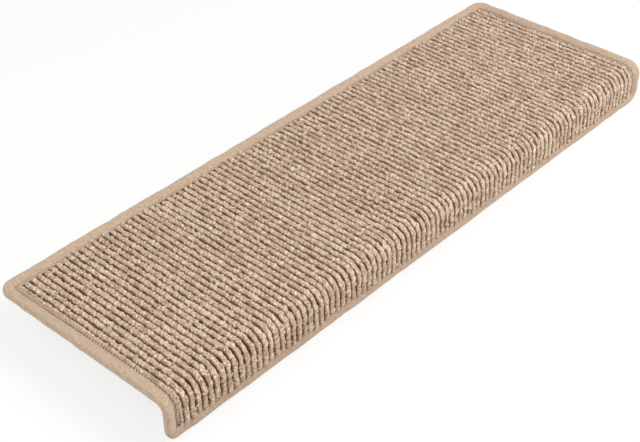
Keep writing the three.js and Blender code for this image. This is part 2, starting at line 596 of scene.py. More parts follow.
@dataclass(frozen=True)
class YarnFinish:
    """Plied beige yarn, each loop of it a little lighter or darker.

    A tone is a share of the way from dark to light, a noise, crown or depth is the
    range that an effect comes in over, and a dimming is the range that the colour
    is multiplied by. The crease colour is painted shade in the creases between
    loops, and the root colour is painted shade low on the rows, beside the
    valleys between them.
    """

    dark: Colour = (134, 102, 76)
    middle: Colour = (214, 186, 163)
    light: Colour = (255, 238, 219)
    # Painted shade: crease darkens the creases between loops, root the low sides of the rows next
    # to the valleys.
    crease: Colour = (108, 76, 48)
    root: Colour = (142, 108, 80)
    sandy: Colour = (205, 184, 146)
    mossy: Colour = (164, 160, 134)
    fibre: Grain = Grain(0.35 * MM, 3, 0.65)
    fibre_dimming: Span = (0.86, 1.1)
    speck: Grain = Grain(0.95 * MM, 1)
    speck_dimming: Span = (0.6, 1.36)
    tip: float = 1.9 * MM
    tip_tone: float = 0.19
    fleck: Grain = Grain(1.1 * MM, 2, 0.6)
    fleck_noise: Span = (0.32, 0.68)
    fleck_tone: float = 0.24
    # Painted highlight and shade: the proud plies are lighter and the hollows between them darker.
    ply_highlight_and_shade: float = 0.07
    ply_relief: float = 0.5
    sandy_patch: Grain = Grain(34 * MM)
    sandy_noise: Span = (0.55, 0.72)
    sandy_share: float = 0.4
    mossy_patch: Grain = Grain(8.5 * MM)
    mossy_noise: Span = (0.6, 0.72)
    mossy_share: float = 0.5
    mossy_shift: tuple[float, float, float] = (0.7, 0.3, 0.1)
    # Where the painted shade of the creases and of the rows' low sides comes in, and how strong it
    # is.
    crease_crown: Span = (0.1, 0.8)
    crease_shade_share: float = 0.6
    root_depth: Span = (0.45, 0.93)
    root_shade_share: float = 0.95
    relief: float = 0.2 * MM
    roughness: float = 0.95
    sheen: float = 0.04

    def material(self) -> bpy.types.Material:
        """Builds the yarn's material.

        Returns:
            A material that reads the pile's tone, crown, depth and twist values.
        """
        board = NodeBoard("plied_yarn")
        place = board.place()
        fibres = board.noise(place, self.fibre)
        plies = board.math("SINE", board.math("MULTIPLY", board.value("twist"), TURN))
        colour = self._patched(board, self._plied(board, plies))
        # Painted shade in the creases between loops.
        crease_shading = board.spread(board.value("crown"), self.crease_crown, (self.crease_shade_share, 0.0))
        colour = board.blend(crease_shading, colour, screen_colour(self.crease))
        # Painted shade low on the rows, deeper in the creases.
        sunk = board.spread(board.value("depth"), self.root_depth, (self.root_shade_share, 0.0))
        colour = board.blend(sunk, colour, screen_colour(self.root))
        fuzz = board.spread(fibres, MOST_NOISE, self.fibre_dimming)
        specks = board.spread(board.noise(place, self.speck), MOST_NOISE, self.speck_dimming)
        colour = board.dim(colour, board.math("MULTIPLY", fuzz, specks))
        relief = board.math("ADD", fibres, board.math("MULTIPLY", plies, self.ply_relief))
        return board.cloth(colour, relief, self.relief, self.roughness, self.sheen)

    def _plied(self, board: NodeBoard, plies: bpy.types.NodeSocket) -> bpy.types.NodeSocket:
        """Gives every loop, yarn tip and fleck its own tone, and paints highlight and shade along
        the plies.

        Args:
            board: The nodes of the material.
            plies: Where the twisted plies stand proud, from -1 to 1.

        Returns:
            The socket of the yarn's own colour.
        """
        place = board.place()
        flecks, tips = board.noise(place, self.fleck), board.cells(place, self.tip)
        parts = [
            board.spread(flecks, self.fleck_noise, (-self.fleck_tone, self.fleck_tone)),
            board.spread(tips, (0, 1), (-self.tip_tone, self.tip_tone)),
            # Painted highlight and shade along the plies.
            board.math("MULTIPLY", plies, self.ply_highlight_and_shade),
        ]
        tone = board.value("tone")
        for part in parts:
            tone = board.math("ADD", tone, part)
        return board.ramp(tone, [(0.0, self.dark), (0.5, self.middle), (1.0, self.light)])

    def _patched(self, board: NodeBoard, colour: bpy.types.NodeSocket) -> bpy.types.NodeSocket:
        """Tints broad sandy patches and smaller mossy ones.

        Args:
            board: The nodes of the material.
            colour: The socket of the colour to tint.

        Returns:
            The socket of the tinted colour.
        """
        place = board.place()
        sand = board.noise(place, self.sandy_patch)
        sandy = board.spread(sand, self.sandy_noise, (0.0, self.sandy_share))
        colour = board.blend(sandy, colour, screen_colour(self.sandy))
        inputs = {0: place, 1: self.mossy_shift}
        shifted = board.add("ShaderNodeVectorMath", inputs, operation="ADD").outputs[0]
        moss = board.noise(shifted, self.mossy_patch)
        mossy = board.spread(moss, self.mossy_noise, (0.0, self.mossy_share))
        return board.blend(mossy, colour, screen_colour(self.mossy))


@dataclass(frozen=True)
class GroundFinish:
    """The dark woven ground that shows between the ribs."""

    shade: Colour = (126, 99, 76)
    # Painted shade: how much darker the weave's hollows are.
    hollow_shade: float = 0.7
    thread: float = 1.1 * MM
    wobble: float = 0.4
    grain: Grain = Grain(0.6 * MM, 3)
    relief: float = 0.2 * MM
    roughness: float = 0.95
    sheen: float = 0.1

    def material(self) -> bpy.types.Material:
        """Builds the ground's material.

        Returns:
            A plain weave, with painted shade in the hollows between its threads.
        """
        board = NodeBoard("woven_ground")
        place = board.place()
        warp = board.wave(place, self.thread, "X", self.wobble)
        weft = board.wave(place, self.thread, "Y", self.wobble)
        weave = board.math("MULTIPLY", warp, weft)
        share = board.math("MULTIPLY", weave, board.noise(place, self.grain))
        # Painted shade: the weave is darker in its hollows.
        darker = tuple(channel * self.hollow_shade for channel in self.shade)
        colour = board.ramp(share, [(0.0, darker), (0.5, self.shade)])
        return board.cloth(colour, weave, self.relief, self.roughness, self.sheen)


@dataclass(frozen=True)
class FleeceFinish:
    """The plain soft backing on the underside."""

    light: Colour = (206, 194, 176)
    light_at: float = 0.75
    dark: Colour = (176, 163, 145)
    dark_at: float = 0.2
    fibre: Grain = Grain(0.5 * MM, 4, 0.7)
    clump: Grain = Grain(6 * MM, 3, 0.6)
    clump_dimming: Span = (0.7, 1.5)
    relief: float = 0.25 * MM
    roughness: float = 0.97
    sheen: float = 0.3

    def material(self) -> bpy.types.Material:
        """Builds the backing's material.

        Returns:
            A matted felt with soft clumps of fibre.
        """
        board = NodeBoard("backing_fleece")
        place = board.place()
        fibres = board.noise(place, self.fibre)
        clumps = board.noise(place, self.clump)
        clumps = board.spread(clumps, MOST_NOISE, self.clump_dimming)
        share = board.math("MULTIPLY", fibres, clumps)
        colour = board.ramp(share, [(self.dark_at, self.dark), (self.light_at, self.light)])
        return board.cloth(colour, fibres, self.relief, self.roughness, self.sheen)


@dataclass(frozen=True)
class TapeFinish:
    """Fine woven binding tape, rubbed along its face, with painted shade along its seam, in its
    needle holes, on its lip beside the pile and along its front edge.
    """

    light: Colour = (205, 181, 156)
    light_at: float = 0.65
    dark: Colour = (170, 144, 118)
    dark_at: float = 0.25
    rosy: Colour = (195, 164, 142)
    # Painted shade: the colour that the seam's groove, the needle holes, the lip beside the pile
    # and the front edge are darkened towards.
    shade_colour: Colour = (92, 62, 38)
    rib: float = 1.5 * MM
    rib_hollow: float = 0.4
    thread: float = 0.6 * MM
    wobble: float = 0.5
    weave_share: float = 0.5
    slub: Grain = Grain(2.2 * MM, 3, 0.65)
    slub_share: float = 0.75
    rosy_patch: Grain = Grain(30 * MM)
    rosy_noise: Span = (0.4, 0.65)
    rosy_share: float = 0.5
    rub: Grain = Grain(3 * MM, 3, 0.7)
    rub_noise: Span = (0.35, 0.65)
    rub_dimming: Span = (0.84, 1.1)
    hole_phase: Span = (0.1, 0.7)
    # How far the painted shade goes towards its colour at its darkest.
    shade_strength: float = 0.93
    relief: float = 0.12 * MM
    roughness: float = 0.85
    sheen: float = 0.2

    def material(self) -> bpy.types.Material:
        """Builds the tape's material.

        Returns:
            A material whose weave follows the tape's own length and width, with
            painted shade in its needle holes, along the seam's groove, on the lip
            beside the pile and along the front edge.
        """
        board = NodeBoard("binding_tape")
        place = board.place()
        weave = self._weave(board)
        slubs = board.noise(place, self.slub)
        share = board.math(
            "ADD",
            board.math("MULTIPLY", weave, self.weave_share),
            board.math("MULTIPLY", slubs, self.slub_share),
        )
        colour = board.ramp(share, [(self.dark_at, self.dark), (self.light_at, self.light)])
        drift = board.noise(place, self.rosy_patch)
        rosy = board.spread(drift, self.rosy_noise, (0.0, self.rosy_share))
        colour = board.blend(rosy, colour, screen_colour(self.rosy))
        rubbed = board.noise(place, self.rub)
        colour = board.dim(colour, board.spread(rubbed, self.rub_noise, self.rub_dimming))
        # Painted shade along the seam, in the needle holes, on the lip beside the pile and along
        # the front edge.
        marks = board.math("ADD", board.value("tape_shade"), self._needle_holes(board))
        shade_amount = board.spread(marks, (0.0, 1.0), (0.0, self.shade_strength))
        colour = board.blend(shade_amount, colour, screen_colour(self.shade_colour))
        return board.cloth(colour, weave, self.relief, self.roughness, self.sheen)

    def _weave(self, board: NodeBoard) -> bpy.types.NodeSocket:
        """Crosses the tape's soft ribs with its fine threads.

        Args:
            board: The nodes of the material.

        Returns:
            The socket of the weave's height, from 0 to 1.
        """
        surface = board.surface()
        ribs = board.wave(surface, self.rib, "X", self.wobble)
        threads = board.wave(surface, self.thread, "Y", self.wobble)
        return board.math("MULTIPLY", board.spread(ribs, (0, 1), (self.rib_hollow, 1)), threads)

    def _needle_holes(self, board: NodeBoard) -> bpy.types.NodeSocket:
        """Places the painted shade of one needle hole between every two stitches of the seam.

        Args:
            board: The nodes of the material.

        Returns:
            The socket of how much painted shade of a hole each point takes, from 0 to 1.
        """
        turns = board.math("MULTIPLY", board.value("stitch"), TURN)
        holes = board.spread(board.math("COSINE", turns), self.hole_phase, (0.0, 1.0))
        return board.math("MULTIPLY", holes, board.value("seam"))


@dataclass(frozen=True)
class ThreadFinish:
    """Twisted sewing thread, lighter in some stretches and darker in others."""

    light: Colour = (226, 206, 170)
    light_at: float = 0.9
    dark: Colour = (132, 104, 74)
    dark_at: float = 0.1
    stretch: Grain = Grain(26 * MM)
    light_noise: Span = (0.45, 0.65)
    light_share: float = 0.75
    twist: float = 0.35 * MM
    twist_share: float = 0.25
    wobble: float = 0.2
    relief: float = 0.05 * MM
    roughness: float = 0.7
    sheen: float = 0.1

    def material(self) -> bpy.types.Material:
        """Builds the thread's material.

        Returns:
            A slanting twist whose colour changes from stretch to stretch.
        """
        board = NodeBoard("sewing_thread")
        twist = board.wave(board.surface(), self.twist, "DIAGONAL", self.wobble)
        stretches = board.noise(board.place(), self.stretch)
        # Lighter and darker stretches along the thread.
        light_stretches = board.spread(stretches, self.light_noise, (0.0, self.light_share))
        share = board.math("ADD", light_stretches, board.math("MULTIPLY", twist, self.twist_share))
        colour = board.ramp(share, [(self.dark_at, self.dark), (self.light_at, self.light)])
        return board.cloth(colour, twist, self.relief, self.roughness, self.sheen)


@dataclass
class CarpetBacking:
    """The soft backing, with the rim that fills the rolled edge of the tape."""

    form: MatForm
    clear: float = 1.3 * MM
    under_step: float = 13.3 * MM
    rim_roll: float = 1.6 * MM
    seam_rise: float = 0.6 * MM
    corner_steps: int = 8
    side_steps: int = 60

    def build(self) -> bpy.types.Object:
        """Makes the backing as one closed mesh.

        Returns:
            The backing, with its ground and its fleece side.
        """
        form = self.form
        top = form.bulk - self.clear
        section = [
            (self.under_step, 0.0),
            (self.under_step, self.clear),
            (self.clear + self.rim_roll, self.clear),
            (self.clear, self.clear + self.rim_roll),
            (self.clear, top - self.rim_roll),
            (self.clear + self.rim_roll, top),
            (form.stitch_inset - self.clear, form.backing + self.seam_rise),
            (form.stitch_inset, form.backing),
        ]
        loops = np.array([self._loop(inset) for inset, _ in section])
        heights = np.array([height for _, height in section])[:, None]
        points = form.formed(loops[..., 0], loops[..., 1], heights)
        count = loops.shape[1]
        index = np.arange(len(section) * count).reshape(len(section), count)
        around = np.stack(
            [
                index[:-1],
                np.roll(index[:-1], -1, axis=1),
                np.roll(index[1:], -1, axis=1),
                index[1:],
            ],
            axis=-1,
        ).reshape(-1, 4)
        half = count // 2
        left = np.arange(half - 1)
        right = count - 1 - left
        under = np.stack([left, right, right - 1, left + 1], axis=-1)
        above = (under + index[-1, 0])[:, ::-1]
        quads = np.concatenate([around, under, above])
        flat, uv = points.reshape(-1, 3), loops.reshape(-1, 2)
        piece = faced_object("carpet_backing", flat, [quads], uv, [quads], {})
        piece.data.materials.append(FleeceFinish().material())
        piece.data.materials.append(GroundFinish().material())
        is_ground = np.zeros(len(quads), dtype=np.int32)
        is_ground[-len(above) :] = 1
        piece.data.polygons.foreach_set("material_index", is_ground)
        piece.data.polygons.foreach_set("use_smooth", np.zeros(len(quads), dtype=bool))
        return piece

    def _loop(self, inset: float) -> np.ndarray:
        """Draws one closed line round the mat, left side first.

        Args:
            inset: Its distance in from the edge.

        Returns:
            Its points as (u, s) pairs.
        """
        form = self.form
        left = self._half_loop(inset, form.nose_corner)
        right = self._half_loop(inset, form.slack_corner)[::-1] * (-1, 1) + (form.length, 0)
        return np.concatenate([left, right])

    def _half_loop(self, inset: float, nose_corner: float) -> np.ndarray:
        """Draws the left half of the line.

        Args:
            inset: Its distance in from the edge.
            nose_corner: Radius of the mat's own corner at the nose.

        Returns:
            Its points as (u, s) pairs, from the back edge to the front.
        """
        form = self.form
        back = max(form.back_corner - inset, form.sharp_corner)
        nose = max(nose_corner - inset, form.sharp_corner)
        turn = np.linspace(0, QUARTER, self.corner_steps)
        sides = np.linspace(inset + back, form.run - inset - nose, self.side_steps)[1:-1]
        first = np.stack([inset + back * (1 - np.sin(turn)), inset + back * (1 - np.cos(turn))], -1)
        side = np.stack([np.full_like(sides, inset), sides], -1)
        last_u = inset + nose * (1 - np.cos(turn))
        last_s = form.run - inset - nose * (1 - np.sin(turn))
        return np.concatenate([first, side, np.stack([last_u, last_s], -1)])


@dataclass
class RibbedPile:
    """Rows of looped yarn that run from the back edge down the nose.

    A swell, pinch, stature or closing is a share of a row's own width or height.
    Each row reads the lumps of its skin from its own strip of one map.
    """

    form: MatForm
    pitch: float = 6.6 * MM
    edge: float = 13.4 * MM
    left_edge: float = 16.4 * MM
    right_edge: float = 15.5 * MM
    start_drift: Span = (-3.2 * MM, 1.4 * MM)
    end_drift: Span = (3.6 * MM, 7.4 * MM)
    row_step: float = 0.8 * MM
    strips: int = 4
    sunk: float = 0.2 * MM
    width_share: float = 0.86
    stature: float = 0.88
    blunt_side: float = 0.55
    blunt_top: float = 0.58
    rounding: float = 2.0 * MM
    least_closing: float = 0.06
    end_stature: float = 0.5
    pressed_place: float = 14.8 * MM
    pressed: float = 0.64
    loop: float = 3.4 * MM
    loop_shares: Span = (0.55, 1.5)
    middle_tone: float = 0.5
    loop_tone: float = 0.12
    slant: float = 0.5
    least_firm: float = 0.2
    pinch: float = 0.2
    swell: float = 0.05
    side_swell: float = 0.27
    rise: float = 0.09
    # These shape the crown and depth values, which set where the yarn gets its painted shade.
    crown_blur: float = 0.4
    crown_depth: float = 0.8
    crease_depth: float = 1.4
    lean: float = 0.35 * MM
    twist: float = 1.5 * MM
    sway: float = 0.5 * MM
    sway_grain: float = 45 * MM
    drift_tone: float = 0.04
    drift_grain: float = 14 * MM
    lump: float = 0.3 * MM
    lump_grain: float = 1.8 * MM
    skin_width: float = 13 * MM
    section_degrees: tuple[float, ...] = (-24, 0, 22, 42, 60, 78, 102, 120, 138, 158, 180, 204)
    seed: int = 11
    rng: np.random.Generator = field(init=False)
    sways: DriftMap = field(init=False)
    tones: DriftMap = field(init=False)
    lumps: DriftMap = field(init=False)

    def __post_init__(self) -> None:
        """Seeds the irregularities of the rows."""
        self.rng = np.random.default_rng(self.seed)
        area = (self.form.length, self.form.run)
        self.sways = DriftMap(self.rng, area, self.sway_grain)
        self.tones = DriftMap(self.rng, area, self.drift_grain)
        skins = (self.form.length * 2, self.form.run)
        self.lumps = DriftMap(self.rng, skins, self.lump_grain)

    def build(self) -> list[bpy.types.Object]:
        """Makes the pile in a few pieces, side by side.

        Returns:
            The pieces, each of many closed rows.
        """
        width = self.form.length - self.left_edge - self.right_edge
        count = round(width / self.pitch)
        rows = [self._row(k, width / count) for k in range(-1, count)]
        yarn = YarnFinish().material()
        pieces = []
        for number, share in enumerate(np.array_split(np.arange(len(rows)), self.strips), 1):
            points = np.stack([rows[k][0] for k in share])
            values = {key: np.stack([rows[k][1][key] for k in share]) for key in rows[0][1]}
            uv = np.zeros((*points.shape[:2], points.shape[2] + 1, 2))
            uv[..., 0] = np.arange(points.shape[2] + 1) * MM
            uv[..., 1] = (np.arange(points.shape[1]) * self.row_step)[:, None]
            piece = mesh_piece(f"ribbed_pile_{number}", points, uv, values=values)
            piece.data.materials.append(yarn)
            pieces.append(piece)
        return pieces

    def _row(self, k: int, pitch: float) -> tuple[np.ndarray, dict[str, np.ndarray]]:
        """Works out one row of loops.

        Args:
            k: Number of the row, from the left. Row -1 is the low one that the
                tape's lip presses on.
            pitch: Distance from row to row.

        Returns:
            Its points as (rings, points round a ring, 3), and its named values.
        """
        form, rng = self.form, self.rng
        start = self.edge + rng.uniform(*self.start_drift)
        end = form.run - self.edge + rng.uniform(*self.end_drift)
        rings = round((form.run - 2 * self.edge) / self.row_step)
        s = np.linspace(start, end, rings)[:, None]
        closing = self._closing(np.minimum(s - start, end - s))
        side, up = self._section()
        loop, crown = self._loops(s + self.slant * pitch / 2 * side)
        wide, tall = self._spread(loop, -1, 1), self._spread(loop, -1, 1)
        firm = self._spread(loop, self.least_firm, 1)
        tone = self._spread(loop, -self.loop_tone, self.loop_tone)
        lean = self._spread(loop, -self.lean, self.lean)
        one_sided = self._spread(loop * 2 + (side > 0), -1, 1)
        pinch = self.pinch * firm * (1 - crown)
        squash = self.pressed if k < 0 else 1.0
        middle = self.pressed_place if k < 0 else self.left_edge + (k + 0.5) * pitch
        sway = self.sway * self.sways.at(middle, s)
        skin = (k + 1) * self.skin_width + np.arange(len(up)) * MM
        lump = self.lump * self.lumps.at(skin, s)
        bulge = (self.swell * wide + self.side_swell * one_sided) * crown - pinch
        half = pitch / 2 * (self.width_share + bulge) * closing * squash
        root = form.backing - self.sunk
        stature = self.stature - pinch + self.rise * tall * crown
        stature *= self.end_stature + (1 - self.end_stature) * closing
        height = (form.crest - root) * stature * squash
        u = middle + sway + lean * crown + side * (half + lump)
        n = np.minimum(root + up * (height + lump), form.crest)
        drift = self.drift_tone * self.tones.at(middle, s)
        blur = self.crown_blur * (1 - firm)
        # The crown and depth values lay the yarn's painted shade in the creases and low on the
        # rows; the twist value lays its painted highlight and shade along the plies.
        values = {
            "tone": self.middle_tone + tone * crown + drift,
            "crown": crown * (1 - blur) + blur,
            "depth": np.clip(up, 0, 1) ** (self.crown_depth + self.crease_depth * (1 - crown)),
            "twist": (s + side * half) / self.twist + rng.uniform(),
        }
        values = {key: np.broadcast_to(value, u.shape) for key, value in values.items()}
        return form.formed(u, s, n), values

    def _section(self) -> tuple[np.ndarray, np.ndarray]:
        """Draws a row's blunt round section.

        Returns:
            How far each point lies to the side and up, in shares of its half width
            and its height.
        """
        turn = np.radians(self.section_degrees)
        across, up = np.cos(turn), np.sin(turn)
        across = np.sign(across) * np.abs(across) ** self.blunt_side
        return across, np.sign(up) * np.abs(up) ** self.blunt_top

    def _closing(self, to_end: np.ndarray) -> np.ndarray:
        """Rounds off both ends of a row.

        Args:
            to_end: Distance of each ring from the nearer end.

        Returns:
            The share of the full width that is left at each ring.
        """
        left = 1 - np.clip(to_end / self.rounding, 0, 1)
        return np.sqrt(np.clip(1 - left**2, self.least_closing, 1))

    def _loops(self, places: np.ndarray) -> tuple[np.ndarray, np.ndarray]:
        """Divides a row into loops of uneven length.

        Args:
            places: Distances along the row.

        Returns:
            The number of the loop at each place, and how near its crown it is,
            from 0 in the crease to 1.
        """
        enough = int(self.form.run / self.loop * 2)
        lengths = self.loop * self.rng.uniform(*self.loop_shares, enough)
        ends = np.cumsum(lengths)
        loop = np.searchsorted(ends, places)
        share = 1 - (ends[loop] - places) / lengths[loop]
        return loop, np.sin(math.pi * np.clip(share, 0, 1)) ** 0.5

    def _spread(self, loop: np.ndarray, low: float, high: float) -> np.ndarray:
        """Gives every loop its own random value between two limits."""
        return self.rng.uniform(low, high, int(loop.max()) + 1)[loop]


@dataclass
class EdgeLine:
    """Stations all round the mat, fine enough for the tape and its stitches."""

    form: MatForm
    step: float = 0.9 * MM
    corner_steps: int = 18
    segment: np.ndarray = field(init=False)
    share: np.ndarray = field(init=False)

    def __post_init__(self) -> None:
        """Sets out the stations in the corners and on the straight stretches."""
        form = self.form
        straights = {
            Border.LEFT: form.run,
            Border.FRONT: form.length,
            Border.RIGHT: form.run,
            Border.BACK: form.length,
        }
        segments, shares = [], []
        for number in range(2 * len(Border)):
            length = straights.get(number)
            steps = self.corner_steps if length is None else round(length / self.step)
            segments.append(np.full(steps, number))
            shares.append(np.arange(steps) / steps)
        self.segment = np.concatenate(segments)
        self.share = np.concatenate(shares)

    def flat_points(self, inset: np.ndarray) -> tuple[np.ndarray, np.ndarray]:
        """Places points at given distances in from the edge.

        Args:
            inset: Distances as (stations, points).

        Returns:
            The places u and s of each point on the flat mat.
        """
        form = self.form
        back = np.maximum(form.back_corner - inset, form.sharp_corner)
        nose = np.maximum(form.nose_corner - inset, form.sharp_corner)
        slack = np.maximum(form.slack_corner - inset, form.sharp_corner)
        share = self.share[:, None]
        sine, cosine = np.sin(QUARTER * share), np.cos(QUARTER * share)
        far_u, far_s = form.length - inset, form.run - inset
        back_end, nose_end, slack_end = inset + back, far_s - nose, far_s - slack
        down = back_end + (nose_end - back_end) * share
        up = slack_end + (back_end - slack_end) * share
        right = inset + nose + (far_u - inset - nose - slack) * share
        left = far_u - back + (inset - far_u + 2 * back) * share
        u_choices = [
            inset + back * (1 - sine),
            inset,
            inset + nose * (1 - cosine),
            right,
            far_u - slack * (1 - sine),
            far_u,
            far_u - back * (1 - cosine),
            left,
        ]
        s_choices = [
            inset + back * (1 - cosine),
            down,
            far_s - nose * (1 - sine),
            far_s,
            far_s - slack * (1 - cosine),
            up,
            inset + back * (1 - sine),
            inset,
        ]
        segment = self.segment[:, None]
        masks = [segment == number for number in range(len(u_choices))]
        return np.select(masks, u_choices), np.select(masks, s_choices)

    def travelled(self, inset: float) -> tuple[np.ndarray, float]:
        """Distances along the line at one inset.

        Args:
            inset: Distance in from the edge.

        Returns:
            The distance of each station from the first, and the whole length.
        """
        u, s = self.flat_points(np.full((len(self.segment), 1), inset))
        steps = np.hypot(np.diff(u[:, 0], append=u[0, 0]), np.diff(s[:, 0], append=s[0, 0]))
        return np.concatenate([[0], np.cumsum(steps)[:-1]]), float(steps.sum())

    def in_corner(self) -> np.ndarray:
        """Where each station lies in its corner, from 0 to 1, and -1 on a side."""
        return np.where(self.segment % 2 == 0, self.share, -1.0)


@dataclass(frozen=True)
class SeamMarks:
    """How far the marks of the sewing reach, how deep they go and how much painted shade they lay.
    """

    hole_reach: float = 0.55 * MM
    hole_length: float = 0.6 * MM
    hole_depth: float = 0.4 * MM
    groove_reach: float = 0.7 * MM
    groove_depth: float = 0.22 * MM
    pucker_reach: float = 1.6 * MM
    pucker_depth: float = 0.12 * MM
    # Painted shade of the needle holes, of the seam's groove, of the lip beside the pile and of the
    # front edge on the nose.
    hole_shade_reach: float = 0.8 * MM
    hole_shade: float = 0.5
    line_reach: float = 0.45 * MM
    line_shade: float = 0.5
    lip_reach: float = 1.2 * MM
    lip_shade: float = 0.16
    front_shade: float = 0.14


@dataclass(frozen=True)
class TapeFolds:
    """How the tape waves, gathers in its corners and frays at its lip."""

    full_height: float = 2 * MM
    across_rate: float = 2
    wave: float = 0.4 * MM
    wave_grain: float = 14 * MM
    ripple: float = 0.1 * MM
    ripple_grain: float = 3.5 * MM
    face_span: float = 50 * MM
    gather: float = 0.3 * MM
    gathers: int = 9
    gather_reach: float = 5 * MM
    lip_span: float = 10 * MM
    fine_grain: float = 1.3 * MM
    fine_edge: float = 0.3 * MM
    fine_lift: float = 0.12 * MM
    broad_grain: float = 9 * MM
    broad_edge: float = 0.25 * MM
    broad_lift: float = 0.2 * MM
    lip_shift: float = 0.2 * MM
    lip_points: int = 5


@dataclass
class EdgeBinding:
    """The woven tape that is folded round the carpet's edge and sewn down.

    The seam's drift and the pull of its thread are given at shares of the way
    round the mat, the drift in millimetres.
    """

    form: MatForm
    line: EdgeLine
    marks: SeamMarks = SeamMarks()
    folds: TapeFolds = TapeFolds()
    thickness: float = 1 * MM
    top_width: float = 13.7 * MM
    under_width: float = 13 * MM
    roll: float = 2.6 * MM
    roll_gap: float = 0.5 * MM
    stitch_height: float = 4.9 * MM
    lip_lift: float = 0.5 * MM
    under_points: int = 4
    roll_points: int = 6
    fall_points: int = 12
    lip_points: int = 8
    inner_stride: int = 3
    stitch_pitch: float = 3.3 * MM
    seam_drift: tuple[tuple[float, float], ...] = (
        (0.0, 0.5),
        (0.03, 1.2),
        (0.07, 2.1),
        (0.102, 2.2),
        (0.114, 0.8),
        (0.2, 0.6),
        (0.45, 0.5),
        (0.52, 0.4),
        (0.62, 0.5),
        (0.7, 1.2),
        (0.95, 1.0),
        (1.0, 0.4),
    )
    seam_pull: tuple[tuple[float, float], ...] = (
        (0.0, 0.6),
        (0.02, 1.4),
        (0.1, 1.3),
        (0.108, 2.4),
        (0.128, 2.2),
        (0.15, 1.4),
        (0.2, 0.8),
        (0.5, 1.3),
        (0.62, 1.8),
        (0.66, 0.3),
        (0.97, 0.3),
        (1.0, 0.6),
    )
    seed: int = 5

    def build(self) -> bpy.types.Object:
        """Makes the tape as one closed strip.

        Returns:
            The tape, with its painted shade, the painted shade of its needle holes and its stitches
            as named values.
        """
        outside = self.face()
        inside = self._inward(outside, self.thickness)[:: -self.inner_stride]
        section = np.concatenate([outside, inside])
        stations = len(self.line.segment)
        inset = np.tile(section[:, 0], (stations, 1))
        height = np.tile(section[:, 1], (stations, 1))
        push, marks = self._worked_surface(outside)
        normal = self._normals(outside)
        count = len(outside)
        inset[:, :count] += push * normal[:, 0]
        height[:, :count] += push * normal[:, 1]
        self._fray(inset, height, count)
        height = np.maximum(height, 0)
        u, s = self.line.flat_points(inset)
        points = self.form.formed(u, s, height)[None]
        travelled, whole = self.line.travelled(0)
        along = np.append(travelled, whole)
        around = np.concatenate([section, section[:1]])
        widths = np.hypot(*np.diff(around, axis=0).T)
        across = np.concatenate([[0], np.cumsum(widths)])
        uv = np.stack(np.meshgrid(along, across, indexing="ij"), -1)[None]
        values = {key: np.zeros((1, stations, len(section))) for key in marks}
        for key, mark in marks.items():
            values[key][0, :, :count] = mark
        piece = mesh_piece("binding_tape", points, uv, wrap_rows=True, values=values)
        piece.data.materials.append(TapeFinish().material())
        return piece

    def face(self) -> np.ndarray:
        """Draws the tape's outer face from its under leg to its lip.

        Returns:
            Its points as (inset, height) pairs.
        """
        roll, bulk, seam = self.roll, self.form.bulk, self.form.stitch_inset
        under = np.linspace(self.under_width, roll + self.roll_gap, self.under_points)
        leg = np.stack([under, np.zeros_like(under)], -1)
        turn = np.linspace(0, QUARTER, self.roll_points)
        low = np.stack([roll - roll * np.sin(turn), roll - roll * np.cos(turn)], -1)
        high = np.stack([roll - roll * np.cos(turn), bulk - roll + roll * np.sin(turn)], -1)
        slope = (seam - roll) / 2
        knots = np.array(
            [
                (roll, bulk),
                (roll + slope, bulk),
                (seam - slope / 3, self.stitch_height),
                (seam, self.stitch_height),
            ]
        )
        t = np.linspace(0, 1, self.fall_points)[1:, None]
        weights = [(1 - t) ** 3, 3 * t * (1 - t) ** 2, 3 * t**2 * (1 - t), t**3]
        fall = sum(weight * knot for weight, knot in zip(weights, knots, strict=True))
        out = np.linspace(seam, self.top_width, self.lip_points)[1:]
        rising = smooth_step((out - seam) / (self.top_width - seam))
        rise = self.stitch_height + self.lip_lift * rising
        return np.concatenate([leg, low, high, fall, np.stack([out, rise], -1)])

    def seam(self) -> np.ndarray:
        """How far in from the edge the row of stitches lies at each station."""
        return self.form.stitch_inset + self._round_the_mat(self.seam_drift) * MM

    def pull(self) -> np.ndarray:
        """How hard the thread pulls the tape in at each station."""
        return self._round_the_mat(self.seam_pull)

    def _round_the_mat(self, knots: tuple[tuple[float, float], ...]) -> np.ndarray:
        """Reads a value that changes along the seam.

        Args:
            knots: The value at some shares of the way round.

        Returns:
            The value at each station.
        """
        travelled, whole = self.line.travelled(self.form.stitch_inset)
        share, value = np.array(knots).T
        return np.interp(travelled / whole, share, value)

    def _normals(self, section: np.ndarray) -> np.ndarray:
        """Finds the directions out of the tape's outer face.

        Args:
            section: The face as (points, 2).

        Returns:
            One unit direction for each point.
        """
        along = np.gradient(section, axis=0)
        along /= np.linalg.norm(along, axis=1, keepdims=True)
        return np.stack([-along[:, 1], along[:, 0]], -1)

    def _inward(self, section: np.ndarray, distance: float) -> np.ndarray:
        """The same face moved into the mat."""
        return section - distance * self._normals(section)

